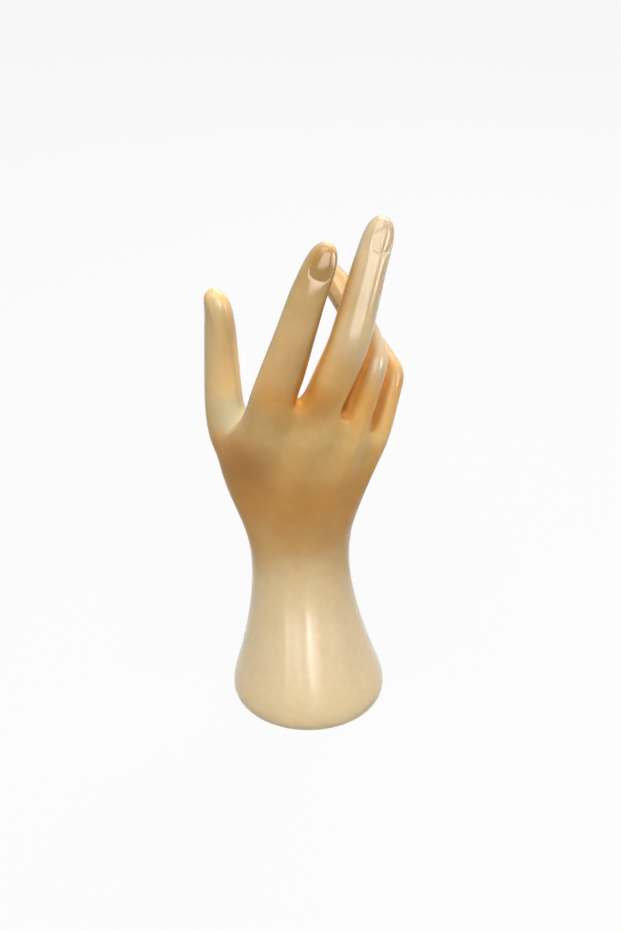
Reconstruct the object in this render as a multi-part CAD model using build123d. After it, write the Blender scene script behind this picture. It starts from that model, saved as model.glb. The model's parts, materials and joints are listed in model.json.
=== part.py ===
from build123d import *
import os
from dataclasses import dataclass
import numpy as np

# Hollow moulded display hand: a right hand that stands on its own flared foot.
# Millimetres. +Z is up, the back of the hand faces -Y, the palm +Y and the thumb -X.
# The origin is the middle of the foot pad's underside, on the surface that the hand stands on.

# Foot, as a round flare that narrows into the wrist
FOOT_RADIUS = 41.2
FOOT_EDGE = 0.8
FOOT_LIFT = 0.6
FOOT_WIDEST = 7.5
WRIST_HEIGHT = 84.0
WRIST_WIDTH = 50.6
WRIST_DEPTH = 37.2
WRIST_SHIFT = -4.3
FLARE_WIDTH_POWER = 1.7
FLARE_DEPTH_POWER = 1.3
FLARE_ROWS = 5

# Palm, from the end of the wrist to the webs between the fingers
PALM_START = 14.0
PALM_START_WIDTH = 52.8
PALM_START_DEPTH = 34.0
PALM_SHIFT_X = -4.6
PALM_SHIFT_Y = -1.5
WALL = 2.5

# Closure of the foot, from the pad that it rests on up to the nut on the ballast
CLEARANCE = 0.3
FIT = 0.05
PAD_THICKNESS = 1.6
PLATE_THICKNESS = 3.0
SCREW_COUNT = 4
SCREW_EDGE_MARGIN = 8.0
SCREW_DIAMETER = 3.0
SCREW_LENGTH = 12.0
SCREW_HEAD_DIAMETER = 5.6
SCREW_HEAD_HEIGHT = 1.5
DRIVE_WIDTH = 0.8
DRIVE_DEPTH = 1.0
BOSS_DIAMETER = 8.0
BOSS_HEIGHT = 22.0
RIB_THICKNESS = 2.0
BALLAST_GAP = 3.5
BALLAST_HEIGHT = 16.0
BALLAST_CHAMFER = 1.0
BOLT_DIAMETER = 6.0
BOLT_HEAD_DIAMETER = 11.0
BOLT_HEAD_HEIGHT = 2.4
BOLT_SOCKET = 4.0
BOLT_PROUD = 1.5
WASHER_DIAMETER = 12.0
WASHER_THICKNESS = 1.6
NUT_ACROSS_FLATS = 10.0
NUT_HEIGHT = 5.0


@dataclass
class Finger:
    """Root from the middle of the palm's start, then three bones, their lean to +X and tilt to the palm."""
    root: tuple
    lengths: tuple
    leans: tuple
    tilts: tuple
    widths: tuple
    depths: tuple
    roll: float


INDEX = Finger(
    root=(-12.0, -18.5, 87.5),
    lengths=(33.8, 20.5, 29.2),
    leans=(17.5, 17.5, 22.0),
    tilts=(2.0, 5.5, 9.5),
    widths=(23.0, 19.0, 17.2, 14.0),
    depths=(20.0, 17.4, 15.0, 11.5),
    roll=6,
)
MIDDLE = Finger(
    root=(10.3, -19.5, 84.5),
    lengths=(34.0, 35.5, 28.0),
    leans=(23.0, 14.5, 17.0),
    tilts=(5.0, 13.5, 20.0),
    widths=(19.8, 19.8, 16.6, 14.0),
    depths=(20.0, 18.4, 15.0, 11.5),
    roll=20,
)
RING_FINGER = Finger(
    root=(26.0, -14.5, 73.0),
    lengths=(33.0, 25.3, 32.0),
    leans=(17.0, -25.5, -41.0),
    tilts=(17.0, 39.5, 40.0),
    widths=(15.8, 17.2, 15.8, 13.0),
    depths=(18.0, 16.5, 14.0, 11.0),
    roll=32,
)
LITTLE = Finger(
    root=(37.0, -5.5, 61.5),
    lengths=(31.5, 20.5, 19.0),
    leans=(14.5, -42.0, -54.0),
    tilts=(20.5, 52.0, 52.0),
    widths=(13.6, 15.2, 13.2, 11.0),
    depths=(16.0, 15.0, 12.5, 10.0),
    roll=42,
)
FINGERS = (INDEX, MIDDLE, RING_FINGER, LITTLE)

# Sections along the three bones of a finger, and how far the last one is drawn in
STATIONS = ((0.0, 0.4, 0.75), (0.0, 0.3, 0.68), (0.0, 0.30, 0.59, 0.86))
TIP_WIDTH_SHARE = 0.74
TIP_DEPTH_SHARE = 0.78

# Thumb sections: centre from the middle of the palm's start, tilt and roll towards -X, width, depth
THUMB = (
    ((-36.2, 8.5, 60.0), 38, 30, 25.0, 22.0),
    ((-38.0, 13.0, 72.0), 14, 34, 20.0, 19.5),
    ((-38.2, 16.0, 86.0), 2, 38, 17.6, 18.2),
    ((-38.4, 17.0, 100.0), 1, 46, 17.2, 16.5),
    ((-38.6, 17.0, 112.5), 3, 62, 16.6, 15.2),
    ((-39.3, 16.5, 123.0), 7, 76, 14.2, 13.2),
    ((-41.0, 16.2, 128.7), 8, 82, 9.6, 8.4),
)
THUMB_TIP = (-43.2, 16.2, 132.0)

# How far the thumb side and the heel stand out (x, y) in each palm row, and the ring points that they move
THENAR = ((0, 0), (-6.2, 3), (-13, 7), (-17, 10), (-9, 6.5), (-3, 2.5))
THENAR_SHARE = {0: 1.0, 1: 0.76, 2: 0.40, 3: 0.14, 21: 0.05, 22: 0.20, 23: 0.46, 24: 0.74, 25: 0.92}
HEEL = ((0, 1.5), (-1.6, 4), (-2.2, 5), (-2.2, 4.5), (-1.6, 3), (-0.6, 1))
HEEL_SHARE = {11: 0.25, 12: 0.7, 13: 1.0, 14: 0.9, 15: 0.9, 16: 0.7, 17: 0.35, 18: 0.1}

# Share of the valleys between the fingers in each palm row, height of the knuckles, lift of the three webs
VALLEYS = (0.0, 0.0, 0.10, 0.45, 1.10, 1.55)
PALM_VALLEY_SHARE = 0.45
KNUCKLES = (0, 0, 0, 0.4, 1.4, 2.4)
FLAT_CORNER = 0.93
WEB_LIFTS = (3.0, 4.0, 4.5)
WEB_WIDTH = 4.0

# Nails: depth of the groove and rise of the plate at the base, the sides and the tip, where both lie on the
# way from corner and side to the middle, and which of base, sides and tip each point round the nail is
NAIL_GROOVES = (0.8, 0.15, 0.0)
NAIL_LIFTS = (-0.45, 0.05, 0.4)
NAIL_CORNER_SHARES = (0.16, 0.32)
NAIL_SIDE_SHARES = (0.08, 0.22)
NAIL_ROWS = (0, 0, 0, 1, 2, 2, 2, 1)

# Points round the palm and the foot, rows of the palm, and the row where the thumb starts
RING = 6 * len(FINGERS) + 2
PALM_ROWS = len(VALLEYS)
THUMB_ROW = PALM_ROWS // 2

HAND = np.array([PALM_SHIFT_X, PALM_SHIFT_Y, WRIST_HEIGHT + PALM_START])
PLATE_BOTTOM = PAD_THICKNESS
PLATE_TOP = PLATE_BOTTOM + PLATE_THICKNESS
PLATE_RADIUS = FOOT_RADIUS - FOOT_EDGE - WALL - CLEARANCE
SCREW_CIRCLE = PLATE_RADIUS - SCREW_EDGE_MARGIN
BALLAST_RADIUS = SCREW_CIRCLE - BOSS_DIAMETER / 2 - BALLAST_GAP
BALLAST_TOP = PLATE_TOP + BALLAST_HEIGHT
BOLT_TOP = BALLAST_TOP + WASHER_THICKNESS + NUT_HEIGHT + BOLT_PROUD


def unit(v):
    return v / np.linalg.norm(v)


def turned(v, axis, angle):
    return v * np.cos(angle) + np.cross(axis, v) * np.sin(angle) + axis * (axis @ v) * (1 - np.cos(angle))


def control_scale(count):
    """Radius of a control ring whose smooth surface has radius 1."""
    return 3 / (2 + np.cos(2 * np.pi / count))


class Cage:
    """Control mesh of four-sided faces; backs tells which faces belong to the back of the hand."""

    def __init__(self):
        self.points = []
        self.faces = []
        self.backs = []

    def ring(self, points):
        start = len(self.points)
        self.points += [np.array(p, float) for p in points]
        return list(range(start, len(self.points)))

    def face(self, quad, back):
        self.faces.append(tuple(quad))
        self.backs.append(back)

    def bridge(self, low, high, skip=()):
        count = len(low)
        for i in range(count):
            if i not in skip:
                k = (i + 1) % count
                self.face((low[i], low[k], high[k], high[i]), i < count // 2)

    def cap(self, ring, tip):
        centre, = self.ring([tip])
        for i in range(0, 8, 2):
            self.face((centre, ring[i], ring[i + 1], ring[(i + 2) % 8]), i < 4)

    def nail(self, base, middle, end, out):
        """Plate with a groove round it, in place of the four faces on the back between three sections."""
        loop = [base[1], base[2], base[3], middle[3], end[3], end[2], end[1], middle[1]]
        covered = set(loop) | {middle[2]}
        kept = [i for i, quad in enumerate(self.faces) if not covered.issuperset(quad)]
        self.faces = [self.faces[i] for i in kept]
        self.backs = [self.backs[i] for i in kept]
        centre = self.points[middle[2]]
        groove = []
        plate = []
        for i, (v, row) in enumerate(zip(loop, NAIL_ROWS)):
            near, far = NAIL_SIDE_SHARES if i % 2 else NAIL_CORNER_SHARES
            inward = centre - self.points[v]
            groove.append(self.points[v] + inward * near - out * NAIL_GROOVES[row])
            plate.append(self.points[v] + inward * far + out * NAIL_LIFTS[row])
        groove = self.ring(groove)
        plate = self.ring(plate)
        self.points[middle[2]] = centre + out * NAIL_LIFTS[1]
        for low, high in ((loop, groove), (groove, plate)):
            for i in range(8):
                k = (i + 1) % 8
                self.face((low[i], low[k], high[k], high[i]), True)
        for i in range(0, 8, 2):
            self.face((plate[i], plate[i + 1], middle[2], plate[i - 1]), True)


def oval(z, width, depth, x, y):
    """Control ring from the thumb side (-X) round by the back of the hand (-Y)."""
    turn = 2 * np.pi * np.arange(RING) / RING
    scale = control_scale(RING) / 2
    return np.column_stack([
        x - scale * width * np.cos(turn),
        y - scale * depth * np.sin(turn),
        np.full(RING, z),
    ])


def section(centre, side, out, width, depth, corner=None):
    """Control ring of eight points round a finger; corner sets how square it is."""
    turn = 2 * np.pi * np.arange(8) / 8
    scale = control_scale(len(turn)) / 2
    high = np.sin(turn)
    if corner:
        high[1::2] = np.sign(high[1::2]) * corner
    return np.array([
        centre + scale * (depth * h * out - width * np.cos(t) * side)
        for t, h in zip(turn, high)
    ])


def finger_sections(finger):
    """Control rings of one finger, its tip, its squarer root ring and the way that its nail faces."""
    lean = np.radians(finger.leans)
    tilt = np.radians(finger.tilts)
    runs = np.column_stack([np.sin(lean) * np.cos(tilt), np.sin(tilt), np.cos(lean) * np.cos(tilt)])
    joints = [HAND + np.array(finger.root)]
    for run, length in zip(runs, finger.lengths):
        joints.append(joints[-1] + run * length)
    roll = np.radians(finger.roll)
    facing = np.array([np.sin(roll), -np.cos(roll), 0])
    out = unit(facing - (facing @ runs[0]) * runs[0])
    frames = [(np.cross(runs[0], out), out)]
    bends = [0.0]
    for before, after in zip(runs, runs[1:]):
        axis = np.cross(before, after)
        bends.append(np.arctan2(np.linalg.norm(axis), before @ after))
        frames.append([turned(v, unit(axis), bends[-1]) for v in frames[-1]])
    rings = []
    for i, shares in enumerate(STATIONS):
        for share in shares:
            centre = joints[i] + (joints[i + 1] - joints[i]) * share
            width = finger.widths[i] + (finger.widths[i + 1] - finger.widths[i]) * share
            depth = finger.depths[i] + (finger.depths[i + 1] - finger.depths[i]) * share
            side, out = frames[i]
            if share == 0 and i > 0:
                side = unit(side + frames[i - 1][0])
                out = unit(out + frames[i - 1][1])
                depth = depth / np.cos(bends[i] / 2)
            rings.append([centre, side, out, width, depth])
    rings[-1][3] *= TIP_WIDTH_SHARE
    rings[-1][4] *= TIP_DEPTH_SHARE
    square_root = section(*rings[0], FLAT_CORNER)
    return [section(*r) for r in rings], joints[-1], square_root, frames[-1][1]


def thumb_sections():
    rings = []
    for centre, tilt, roll, width, depth in THUMB:
        t = np.radians(tilt)
        r = np.radians(roll)
        across = np.array([np.cos(t), 0, np.sin(t)])
        back = np.array([0, -1, 0])
        side = across * np.cos(r) + back * np.sin(r)
        out = back * np.cos(r) - across * np.sin(r)
        rings.append(section(HAND + np.array(centre), side, out, width, depth))
    return rings, HAND + np.array(THUMB_TIP), out


def flare_sizes():
    """Height, width, depth and centre of each row of the foot, from the rim up to the wrist."""
    foot = 2 * FOOT_RADIUS
    rim = foot - 2 * FOOT_EDGE
    sizes = [(FOOT_LIFT, rim, rim, 0, 0), (FOOT_LIFT + 2 * FOOT_EDGE, foot, foot, 0, 0)]
    for i in range(FLARE_ROWS + 1):
        share = i / FLARE_ROWS
        sizes.append((
            FOOT_WIDEST + (WRIST_HEIGHT - FOOT_WIDEST) * share,
            WRIST_WIDTH + (foot - WRIST_WIDTH) * (1 - share) ** FLARE_WIDTH_POWER,
            WRIST_DEPTH + (foot - WRIST_DEPTH) * (1 - share) ** FLARE_DEPTH_POWER,
            WRIST_SHIFT * share,
            PALM_SHIFT_Y * share / 3,
        ))
    return sizes


def palm_ring(rings):
    """The 26 points round the palm out of the four fingers' root rings."""
    backs = [r[1:4] for r in rings]
    palms = [r[5:8] for r in rings[::-1]]
    return np.vstack([rings[0][0], *backs, rings[-1][4], *palms])


def palm_rows(roots, square_roots):
    start = oval(HAND[2], PALM_START_WIDTH, PALM_START_DEPTH, HAND[0], HAND[1])
    knuckle = palm_ring(roots)
    square = palm_ring(square_roots)
    rows = []
    for k in range(PALM_ROWS):
        valley = np.full((RING, 1), VALLEYS[k])
        valley[RING // 2 + 1:] *= PALM_VALLEY_SHARE
        row = start + (square + (knuckle - square) * valley - start) * k / PALM_ROWS
        for shares, moves in ((THENAR_SHARE, THENAR), (HEEL_SHARE, HEEL)):
            for i, share in shares.items():
                row[i, :2] += share * np.array(moves[k])
        row[2:13:3, 1] -= KNUCKLES[k]
        rows.append(row)
    return rows + [knuckle]


def hand_cage():
    """Control mesh of the whole skin without nails, with the sections that carry the nails."""
    cage = Cage()
    fingers = [finger_sections(f) for f in FINGERS]
    roots = [f[0][0] for f in fingers]
    for lift, left, right in zip(WEB_LIFTS, roots, roots[1:]):
        middle = (left[4] + right[0]) / 2 + np.array([0, 0, lift])
        across = unit(right.mean(axis=0) - left.mean(axis=0)) * WEB_WIDTH / 2
        left[4] = middle - across
        right[0] = middle + across
    flare = [cage.ring(oval(*size)) for size in flare_sizes()]
    palm = [cage.ring(row) for row in palm_rows(roots, [f[2] for f in fingers])]
    thumb_gap = palm[THUMB_ROW:THUMB_ROW + 2]
    rows = flare + palm
    for low, high in zip(rows, rows[1:]):
        cage.bridge(low, high, skip=(RING - 2, RING - 1) if low in thumb_gap else ())
    top = palm[-1]
    mids = [top[0]]
    for left, right in zip(roots, roots[1:]):
        mids += cage.ring([left[4], right[0]])
    mids.append(top[RING // 2])
    digits = []
    for k, (rings, tip, _, out) in enumerate(fingers):
        back = top[3 * k + 1:3 * k + 4]
        front = top[23 - 3 * k:26 - 3 * k]
        digits.append(([mids[2 * k], *back, mids[2 * k + 1], *front], rings[1:], tip, out))
        if k:
            left, right = mids[2 * k - 1], mids[2 * k]
            cage.face((top[3 * k], top[3 * k + 1], right, left), True)
            cage.face((left, right, top[25 - 3 * k], top[26 - 3 * k]), False)
    a, b, c = palm[THUMB_ROW:THUMB_ROW + 3]
    digits.append(([a[-1], a[0], b[0], c[0], c[-1], c[-2], b[-2], a[-2]], *thumb_sections()))
    nails = []
    for low, rings, tip, out in digits:
        made = [low]
        for ring in rings:
            made.append(cage.ring(ring))
            cage.bridge(made[-2], made[-1])
        cage.cap(made[-1], tip)
        nails.append((*made[-3:], out))
    return cage, flare[0], nails


def inner_points(cage, rim):
    """The cage's points moved inwards by the wall, with the rim moved level."""
    normals = np.zeros((len(cage.points), 3))
    for quad in cage.faces:
        for i, v in enumerate(quad):
            after = cage.points[quad[(i + 1) % 4]] - cage.points[v]
            before = cage.points[quad[i - 1]] - cage.points[v]
            normals[v] += unit(np.cross(after, before))
    normals[rim, 2] = 0
    return [p - WALL * unit(n) if n.any() else p for p, n in zip(cage.points, normals)]


class Skin:
    """Smooth surface of a cage: one bicubic patch for each face, with edges that its neighbours share."""

    def __init__(self, points, faces, backs, rim):
        self.faces = list(faces)
        self.backs = list(backs)
        points = list(points)
        ghosts = {}
        for quad in faces:
            for i, v in enumerate(quad):
                if v in rim and quad[i - 1] not in rim:
                    ghosts[v] = len(points)
                    points.append(2 * points[v] - points[quad[i - 1]])
        below = [(ghosts[rim[i - 1]], ghosts[v], v, rim[i - 1]) for i, v in enumerate(rim)]
        self.sides = {}
        spokes = {}
        quads = self.faces + below
        for f, quad in enumerate(quads):
            for i, v in enumerate(quad):
                spokes.setdefault(v, []).append(f)
                self.sides.setdefault(frozenset((v, quad[i - 1])), []).append(f)
        self.inner = {}
        for f, quad in enumerate(quads):
            for i, v in enumerate(quad):
                count = len(spokes[v])
                beside = points[quad[i - 1]] + points[quad[(i + 1) % 4]]
                across = points[quad[(i + 2) % 4]]
                self.inner[f, v] = (count * points[v] + 2 * beside + across) / (count + 5)
        self.corner = {v: sum(self.inner[f, v] for f in fs) / len(fs) for v, fs in spokes.items()}

    def handle(self, v, w):
        """Control point near v on the edge from v to w."""
        fs = self.sides[frozenset((v, w))]
        return sum(self.inner[f, v] for f in fs) / len(fs)

    def edge(self, v, w):
        return [self.corner[v], self.handle(v, w), self.handle(w, v), self.corner[w]]

    def patch(self, f):
        a, b, c, d = self.faces[f]
        return [
            self.edge(a, b),
            [self.handle(a, d), self.inner[f, a], self.inner[f, b], self.handle(b, c)],
            [self.handle(d, a), self.inner[f, d], self.inner[f, c], self.handle(c, b)],
            self.edge(d, c),
        ]

    def patches(self, back):
        return [self.patch(f) for f, is_back in enumerate(self.backs) if is_back == back]

    def open_edges(self, back):
        """Edges where one half ends, at the seam and at the rim."""
        for pair, fs in self.sides.items():
            halves = [f < len(self.faces) and self.backs[f] == back for f in fs]
            if any(halves) and not all(halves):
                yield tuple(pair)


def bezier(grid):
    return Face.make_bezier_surface([[tuple(p) for p in row] for row in grid])


def half_shell(outer, inside, back):
    """One half of the hollow skin: outer and inner patches, joined by strips along the seam and the rim."""
    grids = outer.patches(back) + inside.patches(back)
    grids += [[outer.edge(*pair), inside.edge(*pair)] for pair in inside.open_edges(back)]
    return Solid(Shell([bezier(grid) for grid in grids]))


def upright(radius, height):
    return Cylinder(radius, height, align=(Align.CENTER, Align.CENTER, Align.MIN))


def foot_core():
    """The space inside the middle of the foot's wall."""
    return loft([
        Pos(x, y, z) * Ellipse((width - WALL) / 2, (depth - WALL) / 2)
        for z, width, depth, x, y in flare_sizes()
    ], ruled=True)


def screw_places():
    return [(SCREW_CIRCLE, 360 * (i + 0.5) / SCREW_COUNT) for i in range(SCREW_COUNT)]


def boss():
    """Screw boss with a rib out to the wall, and the hole that its screw cuts into."""
    reach = FOOT_RADIUS - SCREW_CIRCLE
    rib = Box(reach, RIB_THICKNESS, BOSS_HEIGHT, align=(Align.MIN, Align.CENTER, Align.MIN))
    hole = upright(SCREW_DIAMETER / 2 + FIT, SCREW_LENGTH - PLATE_THICKNESS + CLEARANCE)
    return upright(BOSS_DIAMETER / 2, BOSS_HEIGHT) + rib - hole


def countersunk(diameter, length, head_diameter, head_height, gap=0.0):
    """Screw blank or, with a gap, the hole for it, head down on the plate's underside."""
    radius = diameter / 2 + gap
    standing = (Align.CENTER, Align.CENTER, Align.MIN)
    head = Cone(head_diameter / 2 + gap, radius, head_height, align=standing)
    return head + upright(radius, length)


def shells():
    cage, rim, nails = hand_cage()
    inside = Skin(inner_points(cage, rim), cage.faces, cage.backs, rim)
    for nail in nails:
        cage.nail(*nail)
    outer = Skin(cage.points, cage.faces, cage.backs, rim)
    core = foot_core()
    halves = {}
    for name, back in (("back_shell", True), ("palm_shell", False)):
        half = half_shell(outer, inside, back)
        for radius, angle in screw_places():
            if (angle > 180) == back:
                half += Rot(0, 0, angle) * Pos(radius, 0, PLATE_TOP) * boss() & core
        halves[name] = half
    return halves


def base_plate():
    plate = Pos(0, 0, PLATE_BOTTOM) * upright(PLATE_RADIUS, PLATE_THICKNESS)
    plate -= Pos(0, 0, PLATE_BOTTOM) * countersunk(
        BOLT_DIAMETER, PLATE_THICKNESS, BOLT_HEAD_DIAMETER, BOLT_HEAD_HEIGHT, FIT)
    for radius, angle in screw_places():
        plate -= Rot(0, 0, angle) * Pos(radius, 0, PLATE_BOTTOM) * countersunk(
            SCREW_DIAMETER, PLATE_THICKNESS, SCREW_HEAD_DIAMETER, SCREW_HEAD_HEIGHT, FIT)
    return plate


def base_screws():
    screw = countersunk(SCREW_DIAMETER, SCREW_LENGTH, SCREW_HEAD_DIAMETER, SCREW_HEAD_HEIGHT)
    for turn in (0, 90):
        screw -= Rot(0, 0, turn) * Box(SCREW_DIAMETER, DRIVE_WIDTH, 2 * DRIVE_DEPTH)
    return Compound([
        Rot(0, 0, angle) * Pos(radius, 0, PLATE_BOTTOM) * screw
        for radius, angle in screw_places()
    ])


def ballast_weight():
    weight = Pos(0, 0, PLATE_TOP) * upright(BALLAST_RADIUS, BALLAST_HEIGHT)
    weight = chamfer(weight.edges(), BALLAST_CHAMFER)
    return weight - Pos(0, 0, PLATE_TOP) * upright(BOLT_DIAMETER / 2 + FIT, BALLAST_HEIGHT)


def ballast_bolt():
    bolt = countersunk(BOLT_DIAMETER, BOLT_TOP - PLATE_BOTTOM, BOLT_HEAD_DIAMETER, BOLT_HEAD_HEIGHT)
    socket = extrude(RegularPolygon(BOLT_SOCKET / 2, 6, major_radius=False), BOLT_HEAD_HEIGHT)
    return Pos(0, 0, PLATE_BOTTOM) * (bolt - socket)


def ballast_washer():
    ring = upright(WASHER_DIAMETER / 2, WASHER_THICKNESS)
    ring -= upright(BOLT_DIAMETER / 2 + FIT, WASHER_THICKNESS)
    return Pos(0, 0, BALLAST_TOP) * ring


def ballast_nut():
    nut = extrude(RegularPolygon(NUT_ACROSS_FLATS / 2, 6, major_radius=False), NUT_HEIGHT)
    return Pos(0, 0, BALLAST_TOP + WASHER_THICKNESS) * (nut - upright(BOLT_DIAMETER / 2 + FIT, NUT_HEIGHT))


def foot_pad():
    return upright(PLATE_RADIUS, PAD_THICKNESS)


nodes = {
    **shells(),
    "base_plate": base_plate(),
    "base_screws": base_screws(),
    "ballast_weight": ballast_weight(),
    "ballast_bolt": ballast_bolt(),
    "ballast_washer": ballast_washer(),
    "ballast_nut": ballast_nut(),
    "foot_pad": foot_pad(),
}
os.makedirs("parts", exist_ok=True)
for name, shape in nodes.items():
    export_step(shape, f"parts/{name}.step")
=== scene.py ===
import json
import math
from collections import namedtuple
import bmesh
import bpy
import numpy as np
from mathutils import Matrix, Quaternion, Vector, kdtree
from mathutils.bvhtree import BVHTree


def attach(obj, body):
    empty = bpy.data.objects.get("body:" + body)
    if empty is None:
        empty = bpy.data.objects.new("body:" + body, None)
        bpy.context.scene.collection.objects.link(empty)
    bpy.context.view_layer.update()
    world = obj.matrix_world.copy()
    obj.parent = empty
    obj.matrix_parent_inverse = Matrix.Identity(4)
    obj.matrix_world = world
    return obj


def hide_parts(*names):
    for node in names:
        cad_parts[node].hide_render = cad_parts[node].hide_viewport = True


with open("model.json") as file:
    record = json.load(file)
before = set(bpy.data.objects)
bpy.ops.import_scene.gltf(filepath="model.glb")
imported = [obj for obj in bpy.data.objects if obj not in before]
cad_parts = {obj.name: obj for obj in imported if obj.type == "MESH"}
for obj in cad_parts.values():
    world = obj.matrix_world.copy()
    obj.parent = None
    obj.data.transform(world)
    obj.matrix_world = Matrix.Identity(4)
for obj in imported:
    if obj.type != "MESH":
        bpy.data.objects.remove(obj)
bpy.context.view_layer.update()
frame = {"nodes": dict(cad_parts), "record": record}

# Metres. +Z is up, the back of the hand faces -Y, the palm +Y and the thumb -X.
# Foot: a round flare that narrows into the wrist
FOOT_RADIUS = 0.0412
FOOT_EDGE = 0.0008
FOOT_LIFT = 0.0006
FOOT_WIDEST = 0.0075
WRIST_HEIGHT = 0.084
WRIST_WIDTH = 0.0506
WRIST_DEPTH = 0.0372
WRIST_SHIFT_X = -0.0043
WRIST_SHIFT_Y = -0.0005
FLARE_WIDTH_POWER = 1.7
FLARE_DEPTH_POWER = 1.3
FLARE_ROWS = 5

# Palm: from the end of the wrist to the webs between the fingers, and the thickness of the whole skin
PALM_START = 0.014
PALM_START_WIDTH = 0.0528
PALM_START_DEPTH = 0.034
PALM_SHIFT_X = -0.0046
PALM_SHIFT_Y = -0.0015
WALL = 0.0025
HAND = np.array([PALM_SHIFT_X, PALM_SHIFT_Y, WRIST_HEIGHT + PALM_START])

# Fingers: root from the middle of the palm's start; lengths of the three bones, their leans to +X and tilts
# to the palm; widths and depths from the root to the tip; how far the finger's back turns to +X
Finger = namedtuple("Finger", "root lengths leans tilts widths depths roll")
INDEX = Finger(
    root=(-0.0120, -0.0185, 0.0875),
    lengths=(0.0338, 0.0205, 0.0292),
    leans=(17.5, 17.5, 22.0),
    tilts=(2.0, 5.5, 9.5),
    widths=(0.0230, 0.0190, 0.0172, 0.0140),
    depths=(0.0200, 0.0174, 0.0150, 0.0115),
    roll=6,
)
MIDDLE = Finger(
    root=(0.0103, -0.0195, 0.0845),
    lengths=(0.0340, 0.0355, 0.0280),
    leans=(23.0, 14.5, 17.0),
    tilts=(5.0, 13.5, 20.0),
    widths=(0.0198, 0.0198, 0.0166, 0.0140),
    depths=(0.0200, 0.0184, 0.0150, 0.0115),
    roll=20,
)
RING_FINGER = Finger(
    root=(0.0260, -0.0145, 0.0730),
    lengths=(0.0330, 0.0253, 0.0320),
    leans=(17.0, -25.5, -41.0),
    tilts=(17.0, 39.5, 40.0),
    widths=(0.0158, 0.0172, 0.0158, 0.0130),
    depths=(0.0180, 0.0165, 0.0140, 0.0110),
    roll=32,
)
LITTLE = Finger(
    root=(0.0370, -0.0055, 0.0615),
    lengths=(0.0315, 0.0205, 0.0190),
    leans=(14.5, -42.0, -54.0),
    tilts=(20.5, 52.0, 52.0),
    widths=(0.0136, 0.0152, 0.0132, 0.0110),
    depths=(0.0160, 0.0150, 0.0125, 0.0100),
    roll=42,
)
FINGERS = (INDEX, MIDDLE, RING_FINGER, LITTLE)

# Sections along the three bones of a finger, and how far the last one is drawn in
STATIONS = ((0.0, 0.4, 0.75), (0.0, 0.3, 0.68), (0.0, 0.30, 0.59, 0.86))
TIP_WIDTH_SHARE = 0.74
TIP_DEPTH_SHARE = 0.78

# Thumb sections: centre from the middle of the palm's start, tilt and roll towards -X, width, depth
THUMB = (
    ((-0.0362, 0.0085, 0.0600), 38, 30, 0.0250, 0.0220),
    ((-0.0380, 0.0130, 0.0720), 14, 34, 0.0200, 0.0195),
    ((-0.0382, 0.0160, 0.0860), 2, 38, 0.0176, 0.0182),
    ((-0.0384, 0.0170, 0.1000), 1, 46, 0.0172, 0.0165),
    ((-0.0386, 0.0170, 0.1125), 3, 62, 0.0166, 0.0152),
    ((-0.0393, 0.0165, 0.1230), 7, 76, 0.0142, 0.0132),
    ((-0.0410, 0.0162, 0.1287), 8, 82, 0.0096, 0.0084),
)
THUMB_TIP = (-0.0432, 0.0162, 0.1320)

# How far the ball of the thumb and the heel stand out (x, y) in each palm row, and the ring points they move
THUMB_BALL = (
    (0, 0),
    (-0.0062, 0.0030),
    (-0.0130, 0.0070),
    (-0.0170, 0.0100),
    (-0.0090, 0.0065),
    (-0.0030, 0.0025),
)
THUMB_BALL_SHARE = {0: 1.0, 1: 0.76, 2: 0.40, 3: 0.14, 21: 0.05, 22: 0.20, 23: 0.46, 24: 0.74, 25: 0.92}
HEEL = (
    (0, 0.0015),
    (-0.0016, 0.0040),
    (-0.0022, 0.0050),
    (-0.0022, 0.0045),
    (-0.0016, 0.0030),
    (-0.0006, 0.0010),
)
HEEL_SHARE = {11: 0.25, 12: 0.7, 13: 1.0, 14: 0.9, 15: 0.9, 16: 0.7, 17: 0.35, 18: 0.1}

# Share of the valleys between the fingers in each palm row, and how much of it the palm side has; height of
# the knuckles in each row; how square the rows are without valleys; lift and width of the three webs
VALLEYS = (0.0, 0.0, 0.10, 0.45, 1.10, 1.55)
PALM_VALLEY_SHARE = 0.45
KNUCKLES = (0, 0, 0, 0.0004, 0.0014, 0.0024)
FLAT_CORNER = 0.93
WEB_LIFTS = (0.003, 0.004, 0.0045)
WEB_WIDTH = 0.004

# Nails: depth of the groove at the base, the sides and the tip, rise of the plate there, where groove and
# plate lie on the way from the corners and the sides to the middle, which points of the nail's outline are
# base, side and tip, and how far an inset goes before its points are set
NAIL_GROOVES = (0.0008, 0.00015, 0.0)
NAIL_LIFTS = (-0.00045, 0.00005, 0.0004)
NAIL_CORNER_SHARES = (0.16, 0.32)
NAIL_SIDE_SHARES = (0.08, 0.22)
NAIL_ROWS = (0, 0, 0, 1, 2, 2, 2, 1)
NAIL_INSET = 0.0002

# Points round a finger; points round the palm and the foot, six for each finger and one on each side; rows
# of the palm, the row where the thumb starts, smoothing steps
FINGER_RING = 8
RING = 6 * len(FINGERS) + 2
PALM_ROWS = len(VALLEYS)
THUMB_ROW = PALM_ROWS // 2
SMOOTH_STEPS = 3

# Material slots that tell the two halves of the skin apart
BACK = 0
PALM = 1

# Hollows between the digits: how far a point looks about for other skin, in how many directions, and from
# how far off its own
HOLLOW_REACH = 0.018
HOLLOW_RAYS = 20
HOLLOW_START = 0.0003

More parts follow.
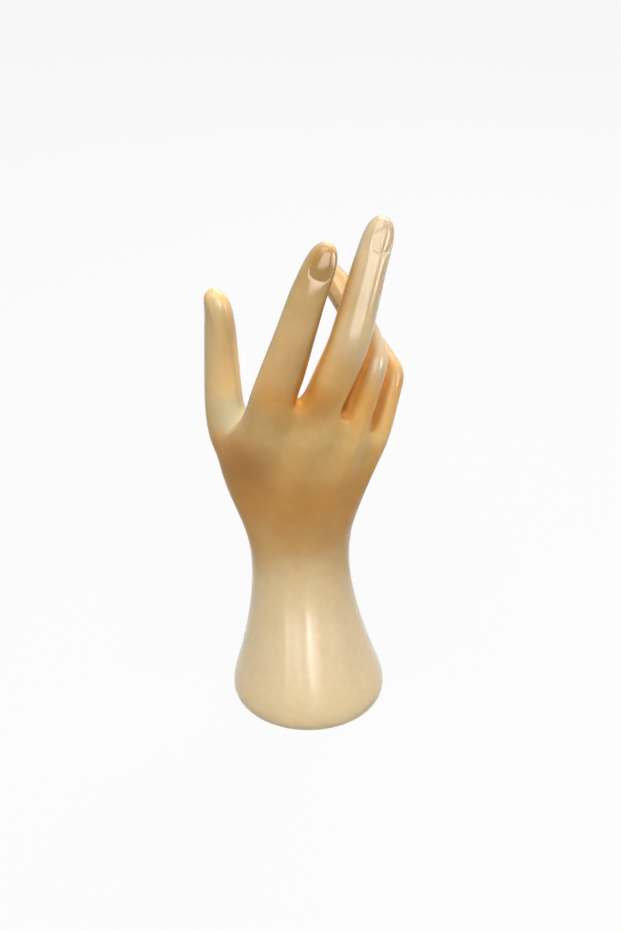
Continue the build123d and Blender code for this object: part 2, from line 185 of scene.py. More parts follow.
# Tones of the skin by the level: the share of this height, shifted a little by a cloudy noise, with light
# and shade painted in
TONE_HEIGHT = 0.27
CLOUD_SHIFT = 0.04
# Painted shade: the wrist and the back of the hand, which lean down away from the light, go tan against the
# cream foot that faces up; painted highlight: the paler stop over the knuckles; painted shade: the darker
# stops up the fingers
SKIN_TONES_AND_SHADE = (
    (0.18, (0.93, 0.69, 0.41)),
    (0.28, (0.89, 0.64, 0.35)),
    (0.38, (0.76, 0.46, 0.18)),
    (0.45, (0.74, 0.375, 0.105)),
    (0.51, (0.74, 0.385, 0.115)),
    (0.63, (0.90, 0.575, 0.225)),
    (0.70, (0.69, 0.36, 0.09)),
    (0.82, (0.63, 0.42, 0.18)),
    (0.90, (0.47, 0.31, 0.12)),
    (0.96, (0.50, 0.36, 0.19)),
    (1.00, (0.52, 0.41, 0.26)),
)
# Share of the gloss by the same level: the wrist and the back of the hand are duller
FULL = (1, 1, 1)
DULL = (0.25, 0.25, 0.25)
GLOSS_SHARES = ((0.31, FULL), (0.38, DULL), (0.62, DULL), (0.72, FULL))

# Tones of the hollows by how far other skin closes in, where these tones set in and where the gloss goes:
# painted amber shade between the digits, its deepest stop a painted glow of light through the plastic
DEEP_HOLLOW_SHADE = (0.51, 0.23, 0.04)
HOLLOW_SHADE_TONES = ((0.15, DEEP_HOLLOW_SHADE), (0.45, (0.90, 0.45, 0.13)))
HOLLOW_SHADE_RANGE = (0.03, 0.25)
GLOSS_RANGE = (0.02, 0.15)
OPEN_GLOSS = 0.5
HOLLOW_GLOSS = 0.05

# Spots of painted light and shade: centre, how far they hold in full and reach, share of the tone at the
# centre, tone
Spot = namedtuple("Spot", "centre full reach share tone")
# Paler tan of the painted light on the middle finger
MIDDLE_LIT_TAN = (0.60, 0.46, 0.27)
# Painted shade on the back of the hand beside the thumb
THUMB_SIDE_SHADE = Spot((-0.032, -0.012, 0.148), 0.006, 0.026, 0.8, (0.55, 0.25, 0.065))
# The thumb painted in a lighter tone where light falls on it, over the painted shade of the back
THUMB_LIT_TONE = Spot((-0.043, 0.012, 0.195), 0.028, 0.046, 1.0, (0.73, 0.51, 0.245))
# Painted shade in the web of the thumb
THUMB_WEB_SHADE = Spot((-0.037, 0.002, 0.167), 0.006, 0.014, 1.0, (0.55, 0.46, 0.28))
# Painted shade on the index nail
INDEX_NAIL_SHADE = Spot((0.007, -0.020, 0.256), 0.005, 0.0095, 0.8, (0.39, 0.21, 0.045))
# Painted amber shade in the web of the index and middle fingers
FINGER_WEB_SHADE = Spot((0.004, -0.026, 0.188), 0.004, 0.014, 0.7, DEEP_HOLLOW_SHADE)
# Painted light on the middle finger and its knuckle
MIDDLE_FINGER_LIGHT = Spot((0.032, -0.008, 0.246), 0.014, 0.024, 0.8, MIDDLE_LIT_TAN)
MIDDLE_KNUCKLE_LIGHT = Spot((0.024, -0.016, 0.219), 0.010, 0.020, 0.8, MIDDLE_LIT_TAN)
# Painted light on the bent knuckles of the ring and little fingers
BENT_KNUCKLES_LIGHT = Spot((0.037, -0.008, 0.206), 0.008, 0.022, 0.8, (0.62, 0.48, 0.32))

# Tones of the other finishes by a noise, and the range that most values of a noise lie in
PLATE_TONES = ((0.35, (0.52, 0.36, 0.20)), (0.65, (0.60, 0.43, 0.25)))
ZINC_TONES = ((0.30, (0.58, 0.57, 0.54)), (0.55, (0.68, 0.68, 0.67)), (0.75, (0.66, 0.63, 0.53)))
BALLAST_TONES = ((0.35, (0.075, 0.075, 0.08)), (0.60, (0.13, 0.125, 0.12)), (0.75, (0.16, 0.09, 0.05)))
RUBBER_TONES = ((0.35, (0.010, 0.009, 0.008)), (0.65, (0.022, 0.020, 0.018)))
NOISE_RANGE = (0.3, 0.7)

# Studio: the floor and the backdrop as they are seen, and the even light that falls from all round
FLOOR_SIZE = 8
FLOOR_GREY = (0.5, 0.5, 0.5)
FLOOR_WHITE = 0.92
BACKDROP_WHITE = 0.97
FILL_LIGHT = 0.12

# Lamps: place, what they point at, power, sides, spread and roll in degrees, and whether they light the
# skin and show in its gloss
Lamp = namedtuple(
    "Lamp",
    "name place target power width height spread roll diffuse glossy",
    defaults=(180, 0, True, True),
)
HAND_MIDDLE = (0, 0, 0.13)
PANEL_ROLL = -17
KEY = Lamp("key", (-0.01, -0.35, 1.1), HAND_MIDDLE, power=15.0, width=0.8, height=0.8)
PANEL = Lamp(
    "panel", (0.123, -0.285, 0.337), (-0.011, -0.033, 0.245),
    power=2.5, width=0.37, height=0.22, roll=PANEL_ROLL, diffuse=False,
)
SIDE_PANEL = Lamp(
    "side_panel", (0.526, -0.117, 0.211), (0.392, 0.135, 0.118),
    power=2.2, width=0.25, height=0.22, roll=PANEL_ROLL, diffuse=False,
)
SIDE_FILL = Lamp(
    "side_fill", (0.45, 0.03, 0.33), (0.03, -0.005, 0.235),
    power=0.036, width=0.2, height=0.1, spread=24, glossy=False,
)
REAR = Lamp("rear", (0.3, 0.75, 0.9), HAND_MIDDLE, power=6.5, width=0.8, height=0.8)

# Lamps that only show in the gloss of the foot: they stand round it, by their azimuth, power and width
FOOT_LAMP_TARGET = (0, -0.04, 0.0475)
FOOT_LAMP_DISTANCE = 0.25
FOOT_LAMP_HEIGHT = 0.035
FOOT_LAMP_SPREAD = 56
FOOT_LAMPS = (
    ("window_left", -20, 0.034, 0.135),
    ("window_right", 14, 0.023, 0.14),
    ("strip_left", -33, 0.021, 0.012),
    ("strip_right", 10, 0.0055, 0.022),
    ("glow_right", 55, 0.022, 0.2),
)

# Camera: place, degrees that it looks down, focal length and photograph's height in pixels, sensor in mm
EYE = (0.0011, -0.583, 0.472)
PITCH = 29.74
FOCAL_PIXELS = 1331
IMAGE_HEIGHT = 931
SENSOR = 36


# Sections of the hand
def unit(v):
    return v / np.linalg.norm(v)


def turned(v, axis, angle):
    return v * np.cos(angle) + np.cross(axis, v) * np.sin(angle) + axis * (axis @ v) * (1 - np.cos(angle))


def control_scale(count):
    """Radius of a ring of points whose smoothed loop has radius 1."""
    return 3 / (2 + np.cos(2 * np.pi / count))


def oval(z, width, depth, x, y):
    """Ring of points from the thumb side (-X) round by the back of the hand (-Y)."""
    turn = 2 * np.pi * np.arange(RING) / RING
    scale = control_scale(RING) / 2
    return np.column_stack([
        x - scale * width * np.cos(turn),
        y - scale * depth * np.sin(turn),
        np.full(RING, z),
    ])


def section(centre, side, out, width, depth, corner=None):
    """Ring of points round a finger; corner sets how square it is."""
    turn = 2 * np.pi * np.arange(FINGER_RING) / FINGER_RING
    scale = control_scale(FINGER_RING) / 2
    high = np.sin(turn)
    if corner:
        high[1::2] = np.sign(high[1::2]) * corner
    return np.array([
        centre + scale * (depth * h * out - width * np.cos(t) * side)
        for t, h in zip(turn, high)
    ])


def finger_sections(finger):
    """Rings of one finger, its tip, its squarer root ring and the way that its nail faces."""
    lean = np.radians(finger.leans)
    tilt = np.radians(finger.tilts)
    runs = np.column_stack([np.sin(lean) * np.cos(tilt), np.sin(tilt), np.cos(lean) * np.cos(tilt)])
    joints = [HAND + np.array(finger.root)]
    for run, length in zip(runs, finger.lengths):
        joints.append(joints[-1] + run * length)
    roll = np.radians(finger.roll)
    facing = np.array([np.sin(roll), -np.cos(roll), 0])
    out = unit(facing - (facing @ runs[0]) * runs[0])
    frames = [(np.cross(runs[0], out), out)]
    bends = [0.0]
    for before, after in zip(runs, runs[1:]):
        axis = np.cross(before, after)
        bends.append(np.arctan2(np.linalg.norm(axis), before @ after))
        frames.append([turned(v, unit(axis), bends[-1]) for v in frames[-1]])
    rings = []
    for i, shares in enumerate(STATIONS):
        for share in shares:
            centre = joints[i] + (joints[i + 1] - joints[i]) * share
            width = finger.widths[i] + (finger.widths[i + 1] - finger.widths[i]) * share
            depth = finger.depths[i] + (finger.depths[i + 1] - finger.depths[i]) * share
            side, out = frames[i]
            if share == 0 and i > 0:
                side = unit(side + frames[i - 1][0])
                out = unit(out + frames[i - 1][1])
                depth = depth / np.cos(bends[i] / 2)
            rings.append([centre, side, out, width, depth])
    rings[-1][3] *= TIP_WIDTH_SHARE
    rings[-1][4] *= TIP_DEPTH_SHARE
    square_root = section(*rings[0], FLAT_CORNER)
    return [section(*r) for r in rings], joints[-1], square_root, frames[-1][1]


def thumb_sections():
    """Rings of the thumb, its tip and the way that its nail faces."""
    rings = []
    for centre, tilt, roll, width, depth in THUMB:
        t = np.radians(tilt)
        r = np.radians(roll)
        across = np.array([np.cos(t), 0, np.sin(t)])
        back = np.array([0, -1, 0])
        side = across * np.cos(r) + back * np.sin(r)
        out = back * np.cos(r) - across * np.sin(r)
        rings.append(section(HAND + np.array(centre), side, out, width, depth))
    return rings, HAND + np.array(THUMB_TIP), out


def flare_rows():
    """Rings of the foot, from the rim up to the wrist."""
    foot = 2 * FOOT_RADIUS
    rim = foot - 2 * FOOT_EDGE
    rows = [oval(FOOT_LIFT, rim, rim, 0, 0), oval(FOOT_LIFT + 2 * FOOT_EDGE, foot, foot, 0, 0)]
    for i in range(FLARE_ROWS + 1):
        share = i / FLARE_ROWS
        rows.append(oval(
            FOOT_WIDEST + (WRIST_HEIGHT - FOOT_WIDEST) * share,
            WRIST_WIDTH + (foot - WRIST_WIDTH) * (1 - share) ** FLARE_WIDTH_POWER,
            WRIST_DEPTH + (foot - WRIST_DEPTH) * (1 - share) ** FLARE_DEPTH_POWER,
            WRIST_SHIFT_X * share,
            WRIST_SHIFT_Y * share,
        ))
    return rows


def palm_ring(rings):
    """The points round the palm out of the four fingers' root rings."""
    backs = [r[1:4] for r in rings]
    palms = [r[5:8] for r in rings[::-1]]
    return np.vstack([rings[0][0], *backs, rings[-1][4], *palms])


def palm_rows(roots, square_roots):
    """Rings of the palm, from its start up to the fingers' roots."""
    start = oval(HAND[2], PALM_START_WIDTH, PALM_START_DEPTH, HAND[0], HAND[1])
    knuckle = palm_ring(roots)
    square = palm_ring(square_roots)
    rows = []
    for k in range(PALM_ROWS):
        valley = np.full((RING, 1), VALLEYS[k])
        valley[RING // 2 + 1:] *= PALM_VALLEY_SHARE
        row = start + (square + (knuckle - square) * valley - start) * k / PALM_ROWS
        for shares, moves in ((THUMB_BALL_SHARE, THUMB_BALL), (HEEL_SHARE, HEEL)):
            for i, share in shares.items():
                row[i, :2] += share * np.array(moves[k])
        row[2:RING // 2:3, 1] -= KNUCKLES[k]
        rows.append(row)
    return rows + [knuckle]


def spread_webs(roots):
    """Draws the facing sides of neighbouring root rings together, a web's width apart."""
    for lift, left, right in zip(WEB_LIFTS, roots, roots[1:]):
        middle = (left[4] + right[0]) / 2 + np.array([0, 0, lift])
        across = unit(right.mean(axis=0) - left.mean(axis=0)) * WEB_WIDTH / 2
        left[4] = middle - across
        right[0] = middle + across


# Modelling in edit mode
def at_places(vertices, places):
    """The vertices that lie nearest to the given places."""
    vertices = list(vertices)
    tree = kdtree.KDTree(len(vertices))
    for i, v in enumerate(vertices):
        tree.insert(v.co, i)
    tree.balance()
    return [vertices[tree.find(place)[1]] for place in places]


def pick(piece, places):
    """Selects the vertices at the given places, and the edges and faces between them."""
    bpy.ops.mesh.select_all(action="DESELECT")
    mesh = bmesh.from_edit_mesh(piece.data)
    for v in at_places(mesh.verts, places):
        v.select = True
    mesh.select_flush(True)
    bmesh.update_edit_mesh(piece.data)


def move_new(mesh, ring, places):
    """Sets the vertices that an operator has just made from a ring on their places."""
    made = at_places([v for v in mesh.verts if v.select], ring)
    for v, place in zip(made, places):
        v.co = place
    return made


def extrude_to(piece, ring, places):
    """Extrudes a closed ring of vertices up to the next section; its first half belongs to the back."""
    pick(piece, ring)
    bpy.ops.mesh.extrude_region_move()
    mesh = bmesh.from_edit_mesh(piece.data)
    made = move_new(mesh, ring, places)
    for i, v in enumerate(made):
        face, = set(v.link_faces) & set(made[(i + 1) % len(made)].link_faces)
        face.material_index = BACK if i < len(made) // 2 else PALM
    bmesh.update_edit_mesh(piece.data)


def fill(piece, places, half):
    """Makes a face between the vertices at the given places."""
    pick(piece, places)
    bpy.ops.mesh.edge_face_add()
    mesh = bmesh.from_edit_mesh(piece.data)
    for face in mesh.faces:
        if face.select:
            face.material_index = half
    bmesh.update_edit_mesh(piece.data)


def web(piece, back_edge, ridge, palm_edge):
    """Closes the gap between two fingers, from the back edge up to the ridge and down to the palm edge."""
    pick(piece, back_edge)
    bpy.ops.mesh.extrude_region_move()
    mesh = bmesh.from_edit_mesh(piece.data)
    made = move_new(mesh, back_edge, ridge)
    face, = set(made[0].link_faces) & set(made[1].link_faces)
    face.material_index = BACK
    bmesh.update_edit_mesh(piece.data)
    fill(piece, [*ridge, *palm_edge], PALM)


def close_tip(piece, ring, tip):
    """Closes a digit with four faces that meet at its tip."""
    fill(piece, ring, PALM)
    bpy.ops.mesh.poke()
    mesh = bmesh.from_edit_mesh(piece.data)
    centre, = at_places([v for v in mesh.verts if v.select], [ring.mean(axis=0)])
    spokes = at_places([e.other_vert(centre) for e in centre.link_edges], ring[1::2])
    centre.co = tip
    for face in centre.link_faces:
        face.material_index = BACK if set(face.verts) & set(spokes[:2]) else PALM
    bpy.ops.mesh.select_all(action="DESELECT")
    for spoke in spokes:
        edge, = set(centre.link_edges) & set(spoke.link_edges)
        edge.select_set(True)
    bmesh.update_edit_mesh(piece.data)
    bpy.ops.mesh.dissolve_edges(use_verts=False)


def digit(piece, root, rings, tip):
    """Extrudes a finger or the thumb out of its root ring, section by section."""
    for low, high in zip([root, *rings], rings):
        extrude_to(piece, low, high)
    close_tip(piece, rings[-1], tip)


def nail(piece, base, middle, end, out):
    """Insets the four faces on the back of the last bone twice, into a groove and a raised plate."""
    loop = np.array([base[1], base[2], base[3], middle[3], end[3], end[2], end[1], middle[1]])
    centre = middle[2]
    shares = np.array([NAIL_CORNER_SHARES, NAIL_SIDE_SHARES] * 4)
    grooves = np.take(NAIL_GROOVES, NAIL_ROWS)
    lifts = np.take(NAIL_LIFTS, NAIL_ROWS)
    groove = loop + (centre - loop) * shares[:, :1] - np.outer(grooves, out)
    plate = loop + (centre - loop) * shares[:, 1:] + np.outer(lifts, out)
    pick(piece, [*loop, centre])
    bpy.ops.mesh.inset(thickness=NAIL_INSET)
    move_new(bmesh.from_edit_mesh(piece.data), loop, groove)
    bmesh.update_edit_mesh(piece.data)
    bpy.ops.mesh.inset(thickness=NAIL_INSET)
    mesh = bmesh.from_edit_mesh(piece.data)
    move_new(mesh, groove, plate)
    move_new(mesh, [centre], [centre + out * NAIL_LIFTS[1]])
    bmesh.update_edit_mesh(piece.data)


def inner_wall(piece):
    """Copies the skin inwards by the wall's thickness, with the foot's rim kept level."""
    bpy.ops.mesh.select_all(action="SELECT")
    bpy.ops.mesh.normals_make_consistent(inside=False)
    bpy.ops.mesh.duplicate()
    mesh = bmesh.from_edit_mesh(piece.data)
    rim = [v for v in mesh.verts if v.select and v.is_boundary]
    bpy.ops.transform.shrink_fatten(value=-WALL)
    for v in rim:
        v.co.z = FOOT_LIFT
    bmesh.update_edit_mesh(piece.data)
    bpy.ops.mesh.flip_normals()


def foot_rim(places):
    """Starts the skin with a circle, whose points are set on the first ring of the foot."""
    bpy.ops.object.select_all(action="DESELECT")
    bpy.ops.mesh.primitive_circle_add(vertices=RING, radius=FOOT_RADIUS, location=(0, 0, FOOT_LIFT))
    piece = bpy.context.object
    bpy.ops.object.transform_apply()
    bpy.ops.object.mode_set(mode="EDIT")
    mesh = bmesh.from_edit_mesh(piece.data)
    start = np.array([v.co for v in mesh.verts])
    turn = np.arctan2(-start[:, 1], -start[:, 0]) % (2 * np.pi)
    move_new(mesh, start[np.argsort(turn)], places)
    bmesh.update_edit_mesh(piece.data)
    return piece


def hand_skin():
    """The whole hollow skin of foot, wrist, palm and digits, as a cage that is then smoothed."""
    fingers = [finger_sections(f) for f in FINGERS]
    roots = [f[0][0] for f in fingers]
    spread_webs(roots)
    palm = palm_rows(roots, [f[2] for f in fingers])
    rows = flare_rows() + palm
    piece = foot_rim(rows[0])
    for low, high in zip(rows, rows[1:]):
        extrude_to(piece, low, high)
    top = palm[-1]
    sides = [top[0]]
    for k, (left, right) in enumerate(zip(roots, roots[1:]), 1):
        ridge = [left[4], right[0]]
        web(piece, top[3 * k:3 * k + 2], ridge, top[RING - 1 - 3 * k:RING + 1 - 3 * k])
        sides += ridge
    sides.append(top[RING // 2])
    nails = []
    for k, (rings, tip, _, out) in enumerate(fingers):
        back = top[3 * k + 1:3 * k + 4]
        front = top[RING - 3 - 3 * k:RING - 3 * k]
        digit(piece, np.array([sides[2 * k], *back, sides[2 * k + 1], *front]), rings[1:], tip)
        nails.append((*rings[-3:], out))
    # The thumb grows out of the place of four faces on the palm's side
    a, b, c = palm[THUMB_ROW:THUMB_ROW + 3]
    root = np.array([a[-1], a[0], b[0], c[0], c[-1], c[-2], b[-2], a[-2]])
    pick(piece, [*root, b[-1]])
    bpy.ops.mesh.delete(type="FACE")
    rings, tip, out = thumb_sections()
    digit(piece, root, rings, tip)
    nails.append((*rings[-3:], out))
    inner_wall(piece)
    for sections in nails:
        nail(piece, *sections)
    bpy.ops.object.mode_set(mode="OBJECT")
    return piece


def smooth(piece):
    """Rounds the cage into the finished skin."""
    modifier = piece.modifiers.new("smooth", "SUBSURF")
    modifier.levels = SMOOTH_STEPS
    modifier.render_levels = SMOOTH_STEPS
    bpy.ops.object.modifier_apply(modifier=modifier.name)
    bpy.ops.object.shade_smooth()


def mark_hollows(piece):
    """Writes on each point of the skin how far other skin closes in on it, for the painted shade in the
    hollows.
    """
    tree = BVHTree.FromObject(piece, bpy.context.evaluated_depsgraph_get())
    golden_turn = math.pi * (3 - math.sqrt(5))
    rays = []
    for i in range(HOLLOW_RAYS):
        high = math.sqrt((i + 0.5) / HOLLOW_RAYS)
        flat = math.sqrt(1 - high * high)
        rays.append(Vector((flat * math.cos(i * golden_turn), flat * math.sin(i * golden_turn), high)))
    shares = []
    for v in piece.data.vertices:
        upright = v.normal.to_track_quat("Z", "Y")
        start = v.co + v.normal * HOLLOW_START
        closed = 0
        for ray in rays:
            place, _, _, distance = tree.ray_cast(start, upright @ ray, HOLLOW_REACH)
            if place:
                closed += 1 - distance / HOLLOW_REACH
        shares.append(closed / HOLLOW_RAYS)
    attribute = piece.data.attributes.new("hollow", "FLOAT", "POINT")
    attribute.data.foreach_set("value", shares)


def split_halves(piece):
    """Parts the smoothed skin at its seam into the back and the palm of the hand."""
    bpy.ops.object.mode_set(mode="EDIT")
    bpy.ops.mesh.select_all(action="SELECT")
    bpy.ops.mesh.separate(type="MATERIAL")
    bpy.ops.object.mode_set(mode="OBJECT")
    halves = sorted(bpy.context.selected_objects, key=lambda o: sum(v.co.y for v in o.data.vertices))
    for half, name in zip(halves, ("back_skin", "palm_skin")):
        half.name = name
        half.data.name = name
    return halves


def close_wall(half, skin_normals):
    """Bridges the outer and inner skins of one half along its edge, and shades it as part of the whole."""
    bpy.ops.object.select_all(action="DESELECT")
    bpy.context.view_layer.objects.active = half
    half.select_set(True)
    bpy.ops.object.mode_set(mode="EDIT")
    bpy.ops.mesh.select_all(action="DESELECT")
    bpy.ops.mesh.select_mode(type="EDGE")
    bpy.ops.mesh.select_non_manifold(use_wire=False, use_multi_face=False, use_non_contiguous=False)
    bpy.ops.mesh.bridge_edge_loops()
    bpy.ops.object.mode_set(mode="OBJECT")
    mesh = half.data
    normals = []
    for face in mesh.polygons:
        for i in face.vertices:
            if face.select:
                normals.append(face.normal)
            else:
                normals.append(skin_normals.at(mesh.vertices[i].co))
    mesh.normals_split_custom_set(normals)


class SkinNormals:
    """Normals of the whole skin, so that the halves shade as one across their seam."""

    def __init__(self, piece):
        vertices = piece.data.vertices
        self.normals = [v.normal.copy() for v in vertices]
        self.tree = kdtree.KDTree(len(vertices))
        for v in vertices:
            self.tree.insert(v.co, v.index)
        self.tree.balance()

    def at(self, place):
        return self.normals[self.tree.find(place)[1]]


# Finishes
class Finish:
    """A material, with the nodes that feed its surface."""

    def __init__(self, name, **values):
        self.material = bpy.data.materials.new(name)
        self.material.use_nodes = True
        self.tree = self.material.node_tree
        self.surface = self.tree.nodes["Principled BSDF"]
        for socket, value in values.items():
            self.surface.inputs[socket.replace("_", " ")].default_value = value
        self.place = self.tree.nodes.new("ShaderNodeTexCoord").outputs["Object"]

    def add(self, kind, feeds, **settings):
        """Adds a node; each of its sockets in feeds takes a value or another node's output."""
        made = self.tree.nodes.new(kind)
        for name, value in settings.items():
            setattr(made, name, value)
        for socket, value in feeds.items():
            if isinstance(value, bpy.types.NodeSocket):
                self.tree.links.new(value, made.inputs[socket])
            else:
                made.inputs[socket].default_value = value
        return made

    def noise(self, size, detail):
        feeds = {"Vector": self.place, "Scale": 1 / size, "Detail": detail}
        return self.add("ShaderNodeTexNoise", feeds).outputs[0]

    def span(self, value, low, high, to_low, to_high):
        """Carries a value from one range over to another."""
        feeds = {"Value": value, "From Min": low, "From Max": high, "To Min": to_low, "To Max": to_high}
        return self.add("ShaderNodeMapRange", feeds).outputs[0]

    def vary(self, noise, low, high):
        """Carries a noise over to the range from low to high."""
        return self.span(noise, *NOISE_RANGE, low, high)

    def ramp(self, share, tones):
        """Turns a share into a tone between those at its positions."""
        made = self.add("ShaderNodeValToRGB", {"Fac": share})
        stops = made.color_ramp.elements
        while len(stops) < len(tones):
            stops.new(1.0)
        for stop, (position, tone) in zip(stops, tones):
            stop.position = position
            stop.color = (*tone, 1)
        return made.outputs["Color"]

    def mix(self, share, first, second, blend="MIX"):
        """Mixes two tones, each a value or another node's output, through the node's colour sockets."""
        made = self.add("ShaderNodeMix", {"Factor": share}, data_type="RGBA", blend_type=blend)
        for socket, value in (("A", first), ("B", second)):
            target = next(i for i in made.inputs if i.name == socket and i.type == "RGBA")
            if isinstance(value, bpy.types.NodeSocket):
                self.tree.links.new(value, target)
            else:
                target.default_value = (*value, 1)
        return next(o for o in made.outputs if o.type == "RGBA")

    def spot(self, tone, spot):
        """Mixes the tone of a spot into another one round the spot's centre."""
        away = self.add("ShaderNodeVectorMath", {0: self.place, 1: spot.centre}, operation="DISTANCE")
        share = self.span(away.outputs["Value"], spot.full, spot.reach, spot.share, 0.0)
        return self.mix(share, tone, spot.tone)

    def feed(self, socket, value):
        self.tree.links.new(value, self.surface.inputs[socket])

    def relief(self, value, height):
        """Lets a value stand out from the surface by up to a height."""
        made = self.add("ShaderNodeBump", {"Height": value, "Distance": height})
        self.feed("Normal", made.outputs["Normal"])


def skin_plastic():
    """Glossy plastic with light and shade painted in: tan painted shade on the back of the hand, cream on
    the foot, painted amber shade in the hollows and painted spots of light and shade.
    """
    finish = Finish(
        "skin_plastic",
        IOR=1.37,
        Subsurface_Weight=0.55,
        Subsurface_Scale=0.005,
        Subsurface_Radius=(1.0, 0.45, 0.2),
    )
    height = finish.add("ShaderNodeSeparateXYZ", {"Vector": finish.place}).outputs["Z"]
    share = finish.span(height, 0, TONE_HEIGHT, 0, 1)
    cloud = finish.vary(finish.noise(size=0.03, detail=3.0), -CLOUD_SHIFT, CLOUD_SHIFT)
    level = finish.add("ShaderNodeMath", {0: share, 1: cloud}, operation="ADD").outputs[0]
    # Painted light and shade by height
    tone = finish.ramp(level, SKIN_TONES_AND_SHADE)
    # Painted shade beside the thumb and on the index nail, painted light on the bent knuckles and the middle
    # finger
    for spot in (THUMB_SIDE_SHADE, BENT_KNUCKLES_LIGHT, MIDDLE_FINGER_LIGHT, MIDDLE_KNUCKLE_LIGHT, INDEX_NAIL_SHADE):
        tone = finish.spot(tone, spot)
    hollow = finish.add("ShaderNodeAttribute", {}, attribute_name="hollow").outputs["Fac"]
    # Painted amber shade in the hollows, by how far other skin closes in
    hollow_shade = finish.span(hollow, *HOLLOW_SHADE_RANGE, 0, 1)
    tone = finish.mix(hollow_shade, tone, finish.ramp(hollow, HOLLOW_SHADE_TONES))
    # Painted light on the thumb, painted shade at its web and at the web of the index and middle fingers
    for spot in (THUMB_LIT_TONE, THUMB_WEB_SHADE, FINGER_WEB_SHADE):
        tone = finish.spot(tone, spot)
    speck = finish.vary(finish.noise(size=0.004, detail=4.0), low=0.96, high=1.02)
    finish.feed("Base Color", finish.mix(1.0, tone, speck, "MULTIPLY"))
    gloss = finish.span(hollow, *GLOSS_RANGE, OPEN_GLOSS, HOLLOW_GLOSS)
    finish.feed("Specular IOR Level", finish.mix(1.0, finish.ramp(level, GLOSS_SHARES), gloss, "MULTIPLY"))
    finish.feed("Roughness", finish.vary(finish.noise(size=0.006, detail=3.0), low=0.13, high=0.18))
    finish.relief(finish.noise(size=0.0022, detail=2.0), height=0.00003)
    return finish.material


def plate_plastic():
    """Matt moulded plastic with a fine spark texture."""
    finish = Finish("plate_plastic", IOR=1.48)
    grain = finish.noise(size=0.0006, detail=3.0)
    finish.feed("Base Color", finish.ramp(finish.noise(size=0.012, detail=3.0), PLATE_TONES))
    finish.feed("Roughness", finish.vary(grain, low=0.45, high=0.62))
    finish.relief(grain, height=0.00006)
    return finish.material


def zinc_steel():
    """Bright zinc plating with faint yellow clouds and fine scratches."""
    finish = Finish("zinc_steel", Metallic=1.0)
    finish.feed("Base Color", finish.ramp(finish.noise(size=0.004, detail=4.0), ZINC_TONES))
    finish.feed("Roughness", finish.vary(finish.noise(size=0.0008, detail=4.0), low=0.26, high=0.42))
    finish.relief(finish.noise(size=0.0005, detail=3.0), height=0.00001)
    return finish.material


def cast_ballast():
    """Raw grey casting: pitted skin, dull, with a little rust."""
    finish = Finish("cast_ballast", Metallic=0.6)
    pits = finish.noise(size=0.0016, detail=6.0)
    finish.feed("Base Color", finish.ramp(finish.noise(size=0.009, detail=5.0), BALLAST_TONES))
    finish.feed("Roughness", finish.vary(pits, low=0.55, high=0.8))
    finish.relief(pits, height=0.0003)
    return finish.material


def pad_rubber():
    """Soft dark foam rubber with fine pores."""
    finish = Finish("pad_rubber", IOR=1.5)
    pores = finish.noise(size=0.0007, detail=5.0)
    finish.feed("Base Color", finish.ramp(pores, RUBBER_TONES))
    finish.feed("Roughness", finish.vary(pores, low=0.72, high=0.92))
    finish.relief(pores, height=0.00015)
    return finish.material


# Studio
def seen_directly(tree):
    """1 for what is seen, in gloss and through clear things too, 0 for the light that falls about."""
    path = tree.nodes.new("ShaderNodeLightPath")
    seen = path.outputs["Is Camera Ray"]
    for kind in ("Is Glossy Ray", "Is Transmission Ray"):
        either = tree.nodes.new("ShaderNodeMath")
        either.operation = "MAXIMUM"
        tree.links.new(seen, either.inputs[0])
        tree.links.new(path.outputs[kind], either.inputs[1])
        seen = either.outputs[0]
    return seen


def share_of(tree, seen, low, high):
    """High where something is seen directly, low elsewhere."""
    made = tree.nodes.new("ShaderNodeMapRange")
    made.inputs["To Min"].default_value = low
    made.inputs["To Max"].default_value = high
    tree.links.new(seen, made.inputs["Value"])
    return made.outputs[0]


def floor():
    """Grey floor that takes shadows and looks white."""
    bpy.ops.object.select_all(action="DESELECT")
    bpy.ops.mesh.primitive_plane_add(size=FLOOR_SIZE)
    made = bpy.context.object
    made.name = "floor"
    material = bpy.data.materials.new("floor")
    material.use_nodes = True
    tree = material.node_tree
    tree.nodes.remove(tree.nodes["Principled BSDF"])
    mix = tree.nodes.new("ShaderNodeMixShader")
    matt = tree.nodes.new("ShaderNodeBsdfDiffuse")
    matt.inputs["Color"].default_value = (*FLOOR_GREY, 1)
    white = tree.nodes.new("ShaderNodeEmission")
    tree.links.new(share_of(tree, seen_directly(tree), 0, FLOOR_WHITE), mix.inputs["Fac"])
    tree.links.new(matt.outputs[0], mix.inputs[1])
    tree.links.new(white.outputs[0], mix.inputs[2])
    tree.links.new(mix.outputs[0], tree.nodes["Material Output"].inputs["Surface"])
    made.data.materials.append(material)


def surroundings():
    """Backdrop that looks white and gives a little even light."""
    world = bpy.data.worlds.new("studio")
    bpy.context.scene.world = world
    world.use_nodes = True
    tree = world.node_tree
    backdrop = tree.nodes["Background"]
    backdrop.inputs["Color"].default_value = (1, 1, 1, 1)
    strength = share_of(tree, seen_directly(tree), FILL_LIGHT, BACKDROP_WHITE)
    tree.links.new(strength, backdrop.inputs["Strength"])


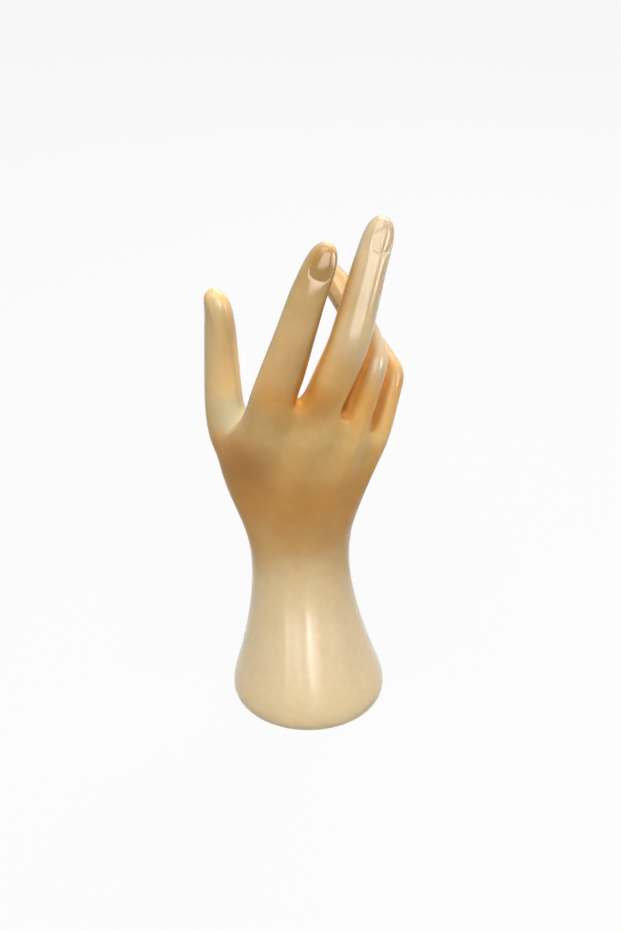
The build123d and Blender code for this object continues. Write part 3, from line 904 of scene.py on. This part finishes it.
def hang(lamp):
    """Adds a lamp at its place, turned to its target."""
    turn = (Vector(lamp.target) - Vector(lamp.place)).to_track_quat("-Z", "Y")
    turn = turn @ Quaternion((0, 0, 1), math.radians(lamp.roll))
    bpy.ops.object.light_add(type="AREA", location=lamp.place, rotation=turn.to_euler())
    light = bpy.context.object
    light.name = lamp.name
    light.data.shape = "RECTANGLE"
    light.data.size = lamp.width
    light.data.size_y = lamp.height
    light.data.energy = lamp.power
    light.data.spread = math.radians(lamp.spread)
    light.visible_diffuse = lamp.diffuse
    light.visible_glossy = lamp.glossy
    light.visible_camera = False


def foot_lamp(name, azimuth, power, width):
    """A lamp that stands round the foot and shows in its gloss alone."""
    turn = math.radians(azimuth)
    x, y, z = FOOT_LAMP_TARGET
    place = (x + FOOT_LAMP_DISTANCE * math.sin(turn), y - FOOT_LAMP_DISTANCE * math.cos(turn), z)
    return Lamp(
        name, place, FOOT_LAMP_TARGET,
        power, width, FOOT_LAMP_HEIGHT, FOOT_LAMP_SPREAD, diffuse=False,
    )


def camera():
    """Camera at the photograph's viewing angle."""
    bpy.ops.object.camera_add(location=EYE, rotation=(math.radians(90 - PITCH), 0, 0))
    made = bpy.context.object
    made.data.sensor_width = SENSOR
    made.data.lens = SENSOR * FOCAL_PIXELS / IMAGE_HEIGHT
    bpy.context.scene.camera = made


# The two halves of the skin, of one plastic
hand = hand_skin()
plastic = skin_plastic()
for _ in (BACK, PALM):
    hand.data.materials.append(plastic)
smooth(hand)
mark_hollows(hand)
normals = SkinNormals(hand)
for half, node in zip(split_halves(hand), ("back_shell", "palm_shell")):
    close_wall(half, normals)
    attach(half, "root")
    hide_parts(node)

# The pieces in and under the foot, which keep their shapes
finishes = {
    "plate_plastic": plate_plastic(),
    "zinc_steel": zinc_steel(),
    "cast_ballast": cast_ballast(),
    "pad_rubber": pad_rubber(),
}
for part in frame["record"]["subparts"]:
    if part["material_slot"] in finishes:
        for slot in frame["nodes"][part["node"]].material_slots:
            slot.material = finishes[part["material_slot"]]

# The studio
floor()
surroundings()
foot_lamps = [foot_lamp(*row) for row in FOOT_LAMPS]
for lamp in (KEY, *foot_lamps, PANEL, SIDE_PANEL, SIDE_FILL, REAR):
    hang(lamp)
camera()
bpy.context.scene.view_settings.view_transform = "Standard"
